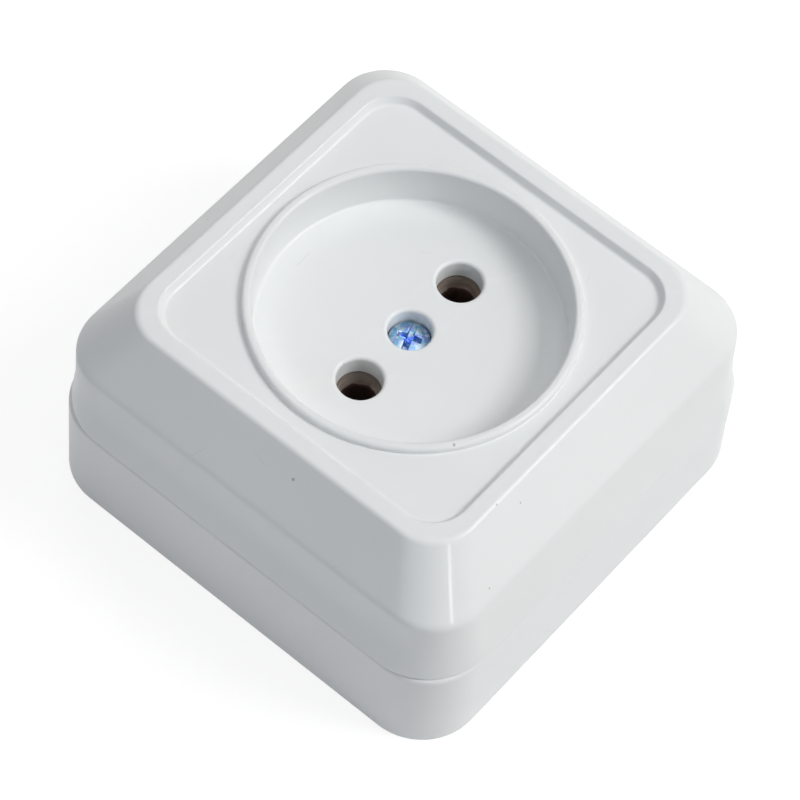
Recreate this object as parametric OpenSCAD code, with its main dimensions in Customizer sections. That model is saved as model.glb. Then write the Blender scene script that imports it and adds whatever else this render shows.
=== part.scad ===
// Surface mounted two-pole socket: a wall box, a moulded cover with a round plug well,
// and an insulating block that carries the two spring contacts and their terminals.
// The back face lies on z = 0, the front looks along +Z, and the pins stand side by side along X.

/* [Housing] */
// Width of the wall box across its back edge
housing_w = 64.4; // [60:0.1:80]
// Depth from the wall to the front of the raised frame
housing_d = 34.0; // [32:0.1:44]
// Height of the wall box, up to the seam
base_h = 14.9; // [12:0.1:17]
// Width that the wall box loses from its back edge to the seam
base_draft = 0.5; // [0:0.1:1.2]
// Open seam between the wall box and the cover
seam_gap = 0.2; // [0.1:0.05:0.8]
// Wall thickness of the two housing parts
wall = 2.0; // [1.8:0.1:2.6]
// Plan radius of the corners at the back edge
back_corner_r = 8.2; // [6:0.1:12]

/* [Cover outline] */
// Inset of the cover's hem from the back edge, on each side
hem_inset = 0.1; // [0:0.05:0.6]
// Plan radius of the corners along the hem
hem_corner_r = 9.3; // [6:0.1:10]
// Inset of the waist from the back edge, on each side
waist_inset = 1.25; // [0.8:0.05:3]
// Height of the sloped sides, from the waist to the front
slope_h = 8.0; // [5:0.1:11]
// Share of the skirt's height that flares towards the hem
flare_part = 0.484; // [0.3:0.002:0.7]
// Inset of the raised frame from the back edge, on each side
front_inset = 6.8; // [3:0.1:9]
// Plan radius of the frame's outer corners
front_corner_r = 6.0; // [4:0.1:9]
// Plan radius of the corners at the waist
waist_corner_r = 7.2; // [5:0.1:9]
// Setback of the rounding on the frame's outer edge
edge_round = 0.45; // [0.3:0.05:1]
// Setback of the soft edge along the waist
waist_round = 0.7; // [0.5:0.1:2.5]
// Setback of the soft line where the skirt begins to flare
flare_round = 0.8; // [0.5:0.1:4]

/* [Front face] */
// Width of the raised frame's flat land
frame_land = 2.15; // [1.4:0.05:3.2]
// Depth of the panel below the frame
panel_drop = 1.0; // [0.5:0.05:1.6]
// Run of the sloped wall between the frame and the panel
panel_slope = 0.75; // [0.3:0.05:1.3]
// Thickness of the panel
panel_t = 2.0; // [1.4:0.1:2.6]
// Width of the raised ring around the plug well
ring_w = 1.25; // [0.8:0.05:1.6]
// Least width of the panel between the ring and the sloped wall
ring_margin = 1.65; // [0.5:0.05:4]
// Drop of the ring's rim below the frame
ring_drop = 0.15; // [0:0.05:0.4]

/* [Plug well] */
// Depth of the well below the ring
well_depth = 6.1; // [4.5:0.1:7.5]
// Diameter that the well loses on its way down
well_draft = 0.6; // [0:0.1:1.2]
// Radius of the fillet around the well's floor
well_fillet = 0.6; // [0.2:0.1:1.2]
// Thickness of the tube around the well
well_wall = 1.6; // [1.2:0.1:2]
// Thickness of the well's floor
well_floor_t = 3.0; // [2.2:0.1:3.8]
// Distance between the centres of the two pin openings
pin_pitch = 19.0; // [18:0.1:20]
// Diameter of a pin opening
pin_hole_d = 5.8; // [5.2:0.1:6.2]
// Radius of the lip around the openings
hole_lip = 0.5; // [0.2:0.05:0.6]

/* [Cover screw] */
// Diameter of the screw's opening in the well
screw_hole_d = 5.6; // [5.5:0.1:6.4]
// Depth of the screw head below the well's floor
screw_sink = 1.6; // [1.2:0.1:3.2]
// Diameter of the screw head
screw_head_d = 5.3; // [4.8:0.1:5.4]
// Height of the screw head
screw_head_h = 1.9; // [1.5:0.1:2.4]
// Diameter of the screw's shank
screw_d = 3.0; // [2.6:0.1:3.4]
// Length of the screw's shank
screw_len = 12; // [9:0.5:14]
// Thickness of the ledge that the screw head bears on
ledge_t = 1.4; // [1:0.1:2]
// Diameter of the disc that keeps the loosened screw in the cover
keeper_d = 5.8; // [5:0.1:6]
// Thickness of that disc
keeper_t = 0.9; // [0.6:0.1:1.2]
// Diameter of the threaded insert in the block
insert_d = 5.4; // [4.6:0.1:5.8]
// Length of the threaded insert
insert_len = 8.0; // [5:0.1:9]

/* [Wall box] */
// Thickness of the floor that lies on the wall
base_floor_t = 2.4; // [1.8:0.1:3.2]
// Height of the lip that centres the cover
lip_h = 1.8; // [1:0.1:2.6]
// Thickness of the lip
lip_t = 0.9; // [0.6:0.1:1]
// Distance of a wall screw from the inner face of the wall beside it
fix_inset = 7.95; // [6.5:0.05:12]
// Width of the slots for the wall screws
fix_slot_w = 4.4; // [3.6:0.1:5]
// Length of the slots from end to end
fix_slot_l = 8; // [6:0.1:9]
// Height of the raised pad round each slot
fix_pad_h = 1.2; // [0.6:0.1:2]
// Width of the pad's land beside a slot
fix_pad_land = 2.6; // [1.6:0.1:3]
// Diameter of the cable entry in the floor
entry_d = 13; // [9:0.5:14]
// Distance of the cable entry's middle from the two inner faces beside it
entry_inset = 11.95; // [8:0.05:14]
// Width of the break-out panel in the upper wall
knockout_w = 13; // [9:0.5:15]
// Height of the break-out panel
knockout_h = 8.5; // [6:0.1:10]
// Thickness left in the break-out panel
knockout_t = 0.9; // [0.6:0.1:1.3]
// Width of the groove around the break-out panel
knockout_groove = 0.7; // [0.4:0.1:1]
// Depth of that groove
knockout_groove_t = 0.4; // [0.2:0.1:0.8]

/* [Cover ribs] */
// Thickness of the ribs that tie the well to the corners
rib_t = 1.2; // [0.8:0.1:1.6]
// Depth of the ribs below the middle of the panel
rib_h = 6.0; // [3:0.1:8]

/* [Contact block] */
// Space between the block's foot and the inner wall, at each end
block_end_gap = 3.45; // [1:0.05:5]
// Width of the block's foot
block_w = 17; // [15.5:0.1:18]
// Height of the terminal deck above the wall box's floor, as a share of the towers' height
deck_share = 0.411; // [0.38:0.001:0.44]
// Wall of the towers round the contacts
tower_wall = 1.5; // [1.2:0.1:1.9]
// Clearance between the towers and the well's underside
tower_gap = 0.2; // [0.1:0.05:0.4]
// Height of the insulating cheeks beside the terminals
cheek_h = 4.6; // [3:0.1:6]
// Thickness of the cheeks
cheek_t = 1.4; // [1:0.1:1.8]
// Inset of the cheeks from the end of the foot
cheek_inset = 1.0; // [0:0.1:3]
// Width of the middle part that carries the threaded insert
middle_w = 12.0; // [9:0.1:15]
// Plan radius of the foot's corners
foot_corner_r = 2.0; // [0.5:0.1:4]
// Plan radius of the middle part's corners
middle_corner_r = 1.5; // [0.5:0.1:3]
// Thickness of the two fixing lugs
lug_t = 3.0; // [2:0.1:4]
// Outer diameter of a fixing lug
lug_d = 7.6; // [7:0.1:9]
// Share of the foot's height that the pillars under the lugs take
pillar_share = 0.44; // [0.3:0.01:0.6]
// Place of the fixing lugs along the pins' line
lug_x = 12.5; // [11.5:0.1:14]

/* [Contacts] */
// Inner diameter of a contact sleeve at rest
sleeve_d = 4.6; // [4.2:0.1:5]
// Inner diameter of the sleeve's wide mouth
mouth_d = 5.3; // [4.9:0.1:5.6]
// Height of the mouth's straight part
mouth_h = 1.6; // [0.8:0.1:2.4]
// Height over which the mouth narrows to the sleeve
mouth_taper_h = 0.9; // [0.5:0.1:1.5]
// Thickness of the contact metal
metal_t = 0.6; // [0.4:0.05:0.8]
// Height of a contact sleeve
sleeve_h = 15.0; // [11:0.1:16]
// Width of the slit along a sleeve
slit_w = 0.8; // [0.4:0.1:1.2]
// Width of the strap that leads to the terminal
strap_w = 6.0; // [5:0.1:7]
// Length of the strap beyond the terminal screw's axis
strap_land = 4.5; // [3.5:0.1:5.5]
// Width of the retaining spring around a sleeve
clip_h = 6.0; // [4:0.1:7]
// Thickness of the retaining spring
clip_t = 0.5; // [0.3:0.05:0.6]
// Opening angle of the retaining spring
clip_gap_angle = 80; // [50:5:120]
// Free space around the retaining spring
clip_clearance = 0.25; // [0.15:0.05:0.4]

/* [Terminals] */
// Place of a terminal screw, as a share of the foot's length beyond the tower
terminal_share = 0.517; // [0.45:0.001:0.56]
// Diameter of a terminal screw
terminal_d = 3.5; // [3:0.1:4]
// Diameter of a terminal screw's head
terminal_head_d = 6.0; // [5.4:0.1:6.2]
// Height of a terminal screw's head
terminal_head_h = 2.2; // [1.6:0.1:2.8]
// Side of the square clamping plate
plate_w = 7.0; // [6.8:0.1:7.4]
// Thickness of the clamping plate
plate_t = 1.0; // [0.7:0.1:1.4]
// Side of the square nut
nut_w = 6.4; // [5.6:0.1:6.6]
// Thickness of the square nut
nut_t = 2.6; // [2:0.1:3]
// Thickness of the block's floor below a terminal screw
terminal_floor_t = 1.0; // [0.6:0.1:2]

/* [Block screws] */
// Diameter of the block's fixing screws
block_screw_d = 2.9; // [2.6:0.1:3.2]
// Height of their tips above the wall box's floor
block_screw_tip = 0.6; // [0.2:0.1:2]
// Diameter of their heads
block_screw_head_d = 5.4; // [4.8:0.1:5.6]
// Height of their heads
block_screw_head_h = 2.0; // [1.6:0.1:2.4]
// Outer diameter of the washers under them
washer_d = 6.4; // [6:0.1:7]
// Thickness of the washers
washer_t = 0.6; // [0.4:0.1:1]

/* [Hidden] */

// Smoothness of round work, and steps round a plan corner and over a blended edge
round_fn = 96;
small_fn = 48;
corner_steps = 14;
blend_steps = 4;
// Overlap of cutting tools past the face that they open
cut = 0.5;
// Running space between parts that slide together, and between a screw and its thread
fit_gap = 0.15;
thread_gap = 0.05;
// Room left under a screw's tip
tip_room = 0.4;

// Screw heads: the crown and the slot's depth as shares of the head's height, the slot's width
// and the cross's length as shares of its diameter, and the cross's depth as a multiple of the slot's
crown_share = 0.27;
slot_depth_share = 0.43;
slot_w_share = 0.15;
cross_share = 0.6;
cross_depth = 1.35;

// Small roundings: the outer edges of the housing parts, the ring's rims as a share of its width,
// the recess's edge as a share of the frame's edge, and what the land takes off the recess's corner radius
shoulder = 0.9;
hem_round = 0.3;
rim_share = 0.4;
inner_edge_share = 0.45;
land_corner_share = 0.4;
// Share of the skirt's widening that is left where the flare begins
flare_share = 0.2;

// Heights, from the wall to the front
frame_z = housing_d;
panel_z = frame_z - panel_drop;
ring_z = frame_z - ring_drop;
well_z = ring_z - well_depth;
well_under_z = well_z - well_floor_t;
head_top_z = well_z - screw_sink;
head_seat_z = head_top_z - screw_head_h;
boss_z = head_seat_z - ledge_t;
hem_z = base_h + seam_gap;
waist_z = frame_z - slope_h;
flare_z = hem_z + flare_part * (waist_z - hem_z);
insert_z = boss_z - keeper_t - fit_gap - insert_len;
tower_z = well_under_z - tower_gap;
deck_z = base_floor_t + deck_share * (tower_z - base_floor_t);
plate_z = deck_z + metal_t;
pillar_z = base_floor_t + pillar_share * (deck_z - base_floor_t);
washer_z = pillar_z + lug_t;

// Half widths of the outline
back_half = housing_w / 2;
base_top_half = back_half - base_draft / 2;
inner_half = base_top_half - wall;
hem_half = back_half - hem_inset;
waist_half = back_half - waist_inset;
front_half = back_half - front_inset;
land_half = front_half - frame_land;
panel_half = land_half - panel_slope;
flare_half = waist_half + (hem_half - waist_half) * flare_share;
flare_corner_r = waist_corner_r + (hem_corner_r - waist_corner_r) * flare_share;
base_corner_r = back_corner_r - base_draft / 2;
lip_half = inner_half + lip_t;
lip_corner_r = base_corner_r - wall + lip_t;

// The ring and the well
ring_out_r = panel_half - ring_margin;
well_r = ring_out_r - ring_w;
well_floor_r = well_r - well_draft / 2;
rim = ring_w * rim_share;

// The sloped sides, and what the wall thickness takes across them
slope_run = (waist_half - front_half) / (frame_z - waist_z);
slope_wall = wall * sqrt(1 + slope_run * slope_run);
ceiling_z = panel_z - panel_t;
ceiling_half = front_half + (frame_z - ceiling_z) * slope_run - slope_wall;

// Radii of the contact and of the spaces around it
sleeve_r = sleeve_d / 2;
sleeve_out_r = sleeve_r + metal_t;
mouth_r = mouth_d / 2;
clip_in_r = sleeve_out_r + thread_gap;
clip_out_r = clip_in_r + clip_t;
cavity_r = clip_out_r + clip_clearance;
tower_r = cavity_r + tower_wall;
sleeve_z = tower_z - sleeve_h;
mouth_taper_z = tower_z - mouth_h - mouth_taper_h;
clip_z = (plate_z + mouth_taper_z - clip_h) / 2;
pin_x = pin_pitch / 2;

// The boss behind the screw's opening fills the space between the two towers
boss_r = pin_x - tower_r - tower_gap;

// The block's foot and its terminals
block_l = 2 * (inner_half - block_end_gap);
tower_end = pin_x + tower_r;
terminal_x = tower_end + terminal_share * (block_l / 2 - tower_end);
terminal_floor_z = base_floor_t + terminal_floor_t;

// The fixing lugs clear the block's foot by a washer, and their pillars stand beside the foot
lug_y = block_w / 2 + washer_d / 2 + 2 * fit_gap;
pillar_d = 2 * (lug_y - block_w / 2 - fit_gap);

// Places in the wall box's floor
fix_y = inner_half - fix_inset;
entry_offset = inner_half - entry_inset;

// Outlines: a level is [half width, height, plan corner radius]
function ring_points(level) = [
    for (quarter = [0:3]) for (step = [0:corner_steps])
        let (angle = 90 * quarter + 90 * step / corner_steps,
             side_x = (quarter == 0 || quarter == 3) ? 1 : -1,
             side_y = quarter < 2 ? 1 : -1,
             centre = level[0] - level[2])
        [side_x * centre + level[2] * cos(angle), side_y * centre + level[2] * sin(angle), level[1]]
];

function distance(a, b) = sqrt(pow(a[0] - b[0], 2) + pow(a[1] - b[1], 2));

// Levels that round the edge at b, between its neighbours a and c, starting a setback away from it
function blended(a, b, c, setback) =
    let (from = b + (a - b) * min(0.48, setback / distance(a, b)),
         to = b + (c - b) * min(0.48, setback / distance(b, c)))
    [for (step = [0:blend_steps]) let (t = step / blend_steps)
        pow(1 - t, 2) * from + 2 * t * (1 - t) * b + t * t * to];

// A solid lofted through rounded squares, from the lowest level to the highest
module loft(levels) {
    count = 4 * (corner_steps + 1);
    points = [for (level = levels) each ring_points(level)];
    floor_face = [for (i = [0:count - 1]) i];
    roof_face = [for (i = [count - 1:-1:0]) (len(levels) - 1) * count + i];
    side_faces = [
        for (k = [0:len(levels) - 2]) for (i = [0:count - 1]) let (j = (i + 1) % count)
            each [[k * count + i, (k + 1) * count + i, (k + 1) * count + j],
                  [k * count + i, (k + 1) * count + j, k * count + j]]
    ];
    polyhedron(points = points, faces = concat([floor_face, roof_face], side_faces));
}

// A rounded square as a plan, with true arcs at its corners
module plan(half, corner_r) {
    square([2 * half, 2 * (half - corner_r)], center = true);
    square([2 * (half - corner_r), 2 * half], center = true);
    for (x = [-1, 1], y = [-1, 1])
        translate([x * (half - corner_r), y * (half - corner_r)])
            circle(r = corner_r, $fn = round_fn);
}

// A rounded rectangle as a plan
module pad_plan(length, width, corner_r) {
    square([length, width - 2 * corner_r], center = true);
    square([length - 2 * corner_r, width], center = true);
    for (x = [-1, 1], y = [-1, 1])
        translate([x * (length / 2 - corner_r), y * (width / 2 - corner_r)])
            circle(r = corner_r, $fn = small_fn);
}

// A slot along Y as a plan
module slot_plan(length, width) {
    square([width, length - width], center = true);
    for (y = [-1, 1])
        translate([0, y * (length - width) / 2])
            circle(d = width, $fn = small_fn);
}

// A hole that opens upwards at z = 0, with a rounded lip
module lipped_hole(d, depth, lip) {
    translate([0, 0, -depth])
        cylinder(d = d, h = depth + cut, $fn = round_fn);
    rotate_extrude($fn = round_fn)
        difference() {
            translate([0, -lip])
                square([d / 2 + lip, lip + cut]);
            translate([d / 2 + lip, -lip])
                circle(r = lip, $fn = small_fn);
        }
}

// A screw head with a domed top, its seat on z = 0, cut for a slotted or a cross driver
module driver_head(d, h) {
    crown = h * crown_share;
    dome_r = (d * d / 4 + crown * crown) / (2 * crown);
    slot_w = d * slot_w_share;
    slot_depth = h * slot_depth_share;
    cross_l = d * cross_share;
    difference() {
        intersection() {
            cylinder(d = d, h = h, $fn = small_fn);
            translate([0, 0, h - dome_r])
                sphere(r = dome_r, $fn = round_fn);
        }
        translate([-d / 2 - cut, -slot_w / 2, h - slot_depth])
            cube([d + 2 * cut, slot_w, slot_depth + cut]);
        translate([-slot_w / 2, -cross_l / 2, h - slot_depth * cross_depth])
            cube([slot_w, cross_l, slot_depth * cross_depth + cut]);
    }
}

// The wall box
module base_shell() {
    back = [back_half, 0, back_corner_r];
    low = [back_half - hem_round, 0, back_corner_r - hem_round];
    top = [base_top_half, base_h, base_corner_r];
    inner_top = [inner_half, base_h, base_corner_r - wall];
    difference() {
        loft(concat(blended(low, back, top, hem_round), blended(back, top, inner_top, shoulder)));
        translate([0, 0, base_floor_t])
            linear_extrude(base_h)
                plan(inner_half, base_corner_r - wall);
    }
}

module centring_lip() {
    translate([0, 0, base_h - lip_h])
        linear_extrude(2 * lip_h)
            difference() {
                plan(lip_half, lip_corner_r);
                plan(lip_half - lip_t, lip_corner_r - lip_t);
            }
}

module fixing_pads() {
    for (y = [-1, 1])
        translate([0, y * fix_y, 0])
            linear_extrude(base_floor_t + fix_pad_h)
                slot_plan(fix_slot_l + 2 * fix_pad_land, fix_slot_w + 2 * fix_pad_land);
}

module lug_places() {
    for (side = [-1, 1])
        translate([side * lug_x, side * lug_y, 0])
            children();
}

module wall_box() {
    color("white")
        difference() {
            union() {
                base_shell();
                centring_lip();
                fixing_pads();
                lug_places()
                    cylinder(d = pillar_d, h = pillar_z, $fn = small_fn);
            }
            for (y = [-1, 1])
                translate([0, y * fix_y, -cut])
                    linear_extrude(base_floor_t + fix_pad_h + 2 * cut)
                        slot_plan(fix_slot_l, fix_slot_w);
            translate([-entry_offset, entry_offset, -cut])
                cylinder(d = entry_d, h = base_floor_t + 2 * cut, $fn = round_fn);
            lug_places()
                translate([0, 0, base_floor_t])
                    cylinder(d = block_screw_d + 2 * thread_gap, h = pillar_z, $fn = small_fn);
            knockout_cut();
        }
}

// The break-out panel: the wall is thinned from the inside, and a groove shows its outline outside
module knockout_cut() {
    translate([0, 0, base_floor_t]) {
        translate([0, base_top_half - knockout_t, 0])
            rotate([90, 0, 0])
                linear_extrude(wall + cut)
                    arch(knockout_w, knockout_h);
        translate([0, back_half + cut, 0])
            rotate([90, 0, 0])
                linear_extrude(cut + (back_half - base_top_half) + knockout_groove_t)
                    difference() {
                        arch(knockout_w, knockout_h);
                        translate([0, knockout_groove])
                            arch(knockout_w - 2 * knockout_groove, knockout_h - 2 * knockout_groove);
                    }
    }
}

// An arch as a plan, its foot on y = 0
module arch(width, height) {
    intersection() {
        translate([-width / 2, 0])
            square([width, height]);
        union() {
            translate([0, height - width / 2])
                circle(d = width, $fn = small_fn);
            translate([-width / 2, 0])
                square([width, height - width / 2]);
        }
    }
}

// The cover
module cover_skin() {
    hem = [hem_half, hem_z, hem_corner_r];
    hem_inner = [hem_half - wall, hem_z, hem_corner_r - wall];
    flare = [flare_half, flare_z, flare_corner_r];
    waist = [waist_half, waist_z, waist_corner_r];
    front = [front_half, frame_z, front_corner_r];
    land = [land_half, frame_z, front_corner_r - frame_land];
    loft(concat(blended(hem_inner, hem, flare, hem_round), blended(hem, flare, waist, flare_round),
                blended(flare, waist, front, waist_round), blended(waist, front, land, edge_round)));
}

// The space inside the cover, or with a margin, that space and the start of the walls around it
module cover_hollow(margin = 0) {
    inset = wall - margin;
    inner_waist_z = waist_z - (slope_wall - wall) / slope_run;
    loft([[hem_half - inset, hem_z - cut, hem_corner_r - inset],
          [hem_half - inset, hem_z, hem_corner_r - inset],
          [flare_half - inset, flare_z, flare_corner_r - inset],
          [waist_half - inset, inner_waist_z, waist_corner_r - inset],
          [ceiling_half + margin, ceiling_z + margin, front_corner_r - wall / 2 + margin]]);
}

// The rebate in the hem that takes the wall box's lip
module hem_rebate() {
    translate([0, 0, hem_z - cut])
        linear_extrude(cut + lip_h)
            plan(lip_half + fit_gap, lip_corner_r + fit_gap);
}

module panel_recess() {
    land_r = front_corner_r - frame_land * land_corner_share;
    panel = [panel_half, panel_z, land_r - panel_slope];
    edge = [land_half, frame_z, land_r];
    outside = [land_half + edge_round, frame_z, land_r + edge_round];
    above = [land_half + edge_round, frame_z + cut, land_r + edge_round];
    difference() {
        loft(concat([panel], blended(panel, edge, outside, edge_round * inner_edge_share), [above]));
        ring_collar();
    }
}

// The raised ring, as a turned collar with rounded rims
module ring_collar() {
    rotate_extrude($fn = round_fn) {
        square([ring_out_r, ring_z - rim]);
        square([ring_out_r - rim, ring_z]);
        translate([ring_out_r - rim, ring_z - rim])
            circle(r = rim, $fn = small_fn);
    }
}

module well_cut() {
    fillet = [for (step = [0:blend_steps]) let (angle = 90 * step / blend_steps - 90)
        [well_floor_r - well_fillet * (1 - cos(angle)), well_z + well_fillet * (1 + sin(angle))]];
    rotate_extrude($fn = round_fn) {
        polygon(concat([[0, well_z]], fillet, [[well_r, ring_z - rim], [well_r, ring_z + cut], [0, ring_z + cut]]));
        difference() {
            translate([0, ring_z - rim])
                square([well_r + rim, rim + cut]);
            translate([well_r + rim, ring_z - rim])
                circle(r = rim, $fn = small_fn);
        }
    }
}

// Ribs that tie the well to the corners of the cover
module corner_ribs() {
    intersection() {
        for (angle = [45, 135])
            rotate([0, 0, angle])
                translate([0, 0, ceiling_z + (wall - rib_h) / 2])
                    cube([2 * housing_w, rib_t, rib_h], center = true);
        cover_hollow(wall / 2);
    }
}

module cover() {
    color("white")
        difference() {
            union() {
                difference() {
                    cover_skin();
                    cover_hollow();
                    hem_rebate();
                }
                corner_ribs();
                translate([0, 0, well_under_z])
                    cylinder(r = well_r + well_wall, h = panel_z - well_under_z, $fn = round_fn);
                translate([0, 0, boss_z])
                    cylinder(r = boss_r, h = well_under_z - boss_z + cut, $fn = small_fn);
            }
            panel_recess();
            well_cut();
            for (side = [-1, 1])
                translate([side * pin_x, 0, well_z])
                    lipped_hole(pin_hole_d, well_floor_t + cut, hole_lip);
            translate([0, 0, well_z])
                lipped_hole(screw_hole_d, well_z - head_seat_z, hole_lip);
            translate([0, 0, boss_z - cut])
                cylinder(d = screw_d + 2 * fit_gap, h = ledge_t + 2 * cut, $fn = small_fn);
        }
}

module cover_screw() {
    color("lightsteelblue") {
        translate([0, 0, head_seat_z])
            driver_head(screw_head_d, screw_head_h);
        translate([0, 0, head_seat_z - screw_len])
            cylinder(d = screw_d, h = screw_len, $fn = small_fn);
    }
}

// The keeper holds the loosened screw in the cover
module screw_keeper() {
    color("ivory")
        translate([0, 0, boss_z - keeper_t])
            difference() {
                cylinder(d = keeper_d, h = keeper_t, $fn = small_fn);
                translate([0, 0, -cut])
                    cylinder(d = screw_d + 2 * thread_gap, h = keeper_t + 2 * cut, $fn = small_fn);
            }
}

module threaded_insert() {
    color("goldenrod")
        translate([0, 0, insert_z])
            difference() {
                cylinder(d = insert_d, h = insert_len, $fn = small_fn);
                translate([0, 0, -cut])
                    cylinder(d = screw_d + 2 * thread_gap, h = insert_len + 2 * cut, $fn = small_fn);
            }
}

// The contact block
module block_body() {
    cheek_start = tower_end + tower_gap;
    cheek_end = block_l / 2 - cheek_inset;
    difference() {
        union() {
            translate([0, 0, base_floor_t])
                linear_extrude(deck_z - base_floor_t)
                    pad_plan(block_l, block_w, foot_corner_r);
            translate([0, 0, deck_z - cut])
                linear_extrude(boss_z - deck_z + cut)
                    pad_plan(pin_pitch, middle_w, middle_corner_r);
            for (side = [-1, 1]) {
                translate([side * pin_x, 0, deck_z - cut])
                    cylinder(r = tower_r, h = tower_z - deck_z + cut, $fn = round_fn);
                for (edge = [-1, 1])
                    translate([side * (cheek_start + cheek_end) / 2, edge * (block_w - cheek_t) / 2,
                               deck_z + cheek_h / 2])
                        cube([cheek_end - cheek_start, cheek_t, cheek_h + cut], center = true);
            }
            block_lugs();
        }
        for (side = [-1, 1])
            contact_space(side);
        insert_space();
    }
}

module block_lugs() {
    lug_places()
        translate([0, 0, pillar_z])
            cylinder(d = lug_d, h = lug_t, $fn = small_fn);
    for (side = [-1, 1])
        translate([side * lug_x, side * (block_w / 2 + lug_y) / 2 - side * cut, pillar_z + lug_t / 2])
            cube([lug_d, lug_y - block_w / 2 + 2 * cut, lug_t], center = true);
}

// Room for a contact, its spring, its strap and a long pin, and for the nut and screw end below the strap
module contact_space(side) {
    translate([side * pin_x, 0, base_floor_t - cut])
        cylinder(r = cavity_r, h = tower_z - base_floor_t + 2 * cut, $fn = round_fn);
    slot_w = strap_w + 2 * fit_gap;
    translate([side * (pin_x + tower_r / 2 + cut), 0, (deck_z + tower_z + cut) / 2])
        cube([tower_r + 2 * cut, slot_w, tower_z - deck_z + cut], center = true);
    pocket_w = nut_w + 2 * fit_gap;
    translate([side * terminal_x, 0, deck_z - (nut_t + fit_gap) / 2 + cut / 2])
        cube([pocket_w, pocket_w, nut_t + fit_gap + cut], center = true);
    translate([side * terminal_x, 0, terminal_floor_z])
        cylinder(d = terminal_d + 2 * fit_gap, h = deck_z, $fn = small_fn);
}

module insert_space() {
    translate([0, 0, insert_z])
        cylinder(d = insert_d + 2 * thread_gap, h = boss_z - insert_z + cut, $fn = small_fn);
    translate([0, 0, boss_z - keeper_t - fit_gap])
        cylinder(d = keeper_d + 2 * fit_gap, h = keeper_t + fit_gap + cut, $fn = small_fn);
    translate([0, 0, head_seat_z - screw_len - tip_room])
        cylinder(d = screw_d + 2 * fit_gap, h = screw_len, $fn = small_fn);
}

module contact_block() {
    color("saddlebrown")
        difference() {
            block_body();
            lug_places()
                translate([0, 0, pillar_z - cut])
                    cylinder(d = block_screw_d + 2 * fit_gap, h = lug_t + 2 * cut, $fn = small_fn);
        }
}

// The sleeve of a contact: a turned tube whose mouth widens to lead the pin in
module sleeve_tube() {
    taper_z = sleeve_h - mouth_h - mouth_taper_h;
    lead_z = sleeve_h - mouth_h;
    rotate_extrude($fn = round_fn)
        polygon([[sleeve_r, 0], [sleeve_out_r, 0], [sleeve_out_r, taper_z], [mouth_r + metal_t, lead_z],
                 [mouth_r + metal_t, sleeve_h], [mouth_r, sleeve_h], [mouth_r, lead_z], [sleeve_r, taper_z]]);
}

// A contact: a split sleeve, and the strap that leads to its terminal
module contact(side) {
    strap_end = terminal_x + strap_land;
    strap_start = pin_x + sleeve_r + metal_t / 2;
    slit_reach = mouth_r + metal_t + cut;
    color("darkgoldenrod")
        difference() {
            union() {
                translate([side * pin_x, 0, sleeve_z])
                    sleeve_tube();
                translate([side * (strap_start + strap_end) / 2, 0, deck_z + metal_t / 2])
                    cube([strap_end - strap_start, strap_w, metal_t], center = true);
            }
            translate([side * pin_x, 0, sleeve_z - cut])
                cylinder(r = sleeve_r, h = sleeve_h + 2 * cut, $fn = round_fn);
            translate([side * pin_x, -slit_reach / 2, sleeve_z + sleeve_h / 2])
                cube([slit_w, slit_reach, sleeve_h + 2 * cut], center = true);
            translate([side * terminal_x, 0, deck_z - cut])
                cylinder(d = terminal_d + 2 * fit_gap, h = metal_t + 2 * cut, $fn = small_fn);
        }
}

// A retaining spring: an open ring that presses the sleeve together
module contact_spring(side) {
    reach = 3 * clip_out_r;
    half_gap = clip_gap_angle / 2;
    color("silver")
        translate([side * pin_x, 0, clip_z])
            rotate([0, 0, -90])
                linear_extrude(clip_h)
                    difference() {
                        circle(r = clip_out_r, $fn = round_fn);
                        circle(r = clip_in_r, $fn = round_fn);
                        polygon([[0, 0], [reach * cos(half_gap), reach * sin(half_gap)],
                                 [reach * cos(half_gap), -reach * sin(half_gap)]]);
                    }
}

// A clamping plate, dished by two ribs that keep the wire under the screw
module clamp_plate(side) {
    rib = (plate_w - terminal_head_d) / 2 - fit_gap;
    color("silver")
        translate([side * terminal_x, 0, plate_z])
            difference() {
                union() {
                    translate([0, 0, plate_t / 2])
                        cube([plate_w, plate_w, plate_t], center = true);
                    for (x = [-1, 1])
                        translate([x * (plate_w - rib) / 2, 0, plate_t + rib / 2])
                            cube([rib, plate_w, rib], center = true);
                }
                translate([0, 0, -cut])
                    cylinder(d = terminal_d + 2 * fit_gap, h = plate_t + 2 * cut, $fn = small_fn);
            }
}

module terminal_screw(side) {
    shank = plate_z + plate_t - terminal_floor_z - tip_room;
    color("silver")
        translate([side * terminal_x, 0, plate_z + plate_t]) {
            driver_head(terminal_head_d, terminal_head_h);
            translate([0, 0, -shank])
                cylinder(d = terminal_d, h = shank, $fn = small_fn);
        }
}

module terminal_nut(side) {
    color("silver")
        translate([side * terminal_x, 0, deck_z - nut_t])
            difference() {
                translate([0, 0, nut_t / 2])
                    cube([nut_w, nut_w, nut_t], center = true);
                translate([0, 0, -cut])
                    cylinder(d = terminal_d + 2 * thread_gap, h = nut_t + 2 * cut, $fn = small_fn);
            }
}

// The screws and washers that hold the block in the wall box
module block_screw(side) {
    block_screw_len = washer_z + washer_t - base_floor_t - block_screw_tip;
    color("silver")
        translate([side * lug_x, side * lug_y, washer_z + washer_t]) {
            driver_head(block_screw_head_d, block_screw_head_h);
            translate([0, 0, -block_screw_len])
                cylinder(d = block_screw_d, h = block_screw_len, $fn = small_fn);
        }
}

module block_washer(side) {
    color("silver")
        translate([side * lug_x, side * lug_y, washer_z])
            difference() {
                cylinder(d = washer_d, h = washer_t, $fn = small_fn);
                translate([0, 0, -cut])
                    cylinder(d = block_screw_d + 2 * fit_gap, h = washer_t + 2 * cut, $fn = small_fn);
            }
}

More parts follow.
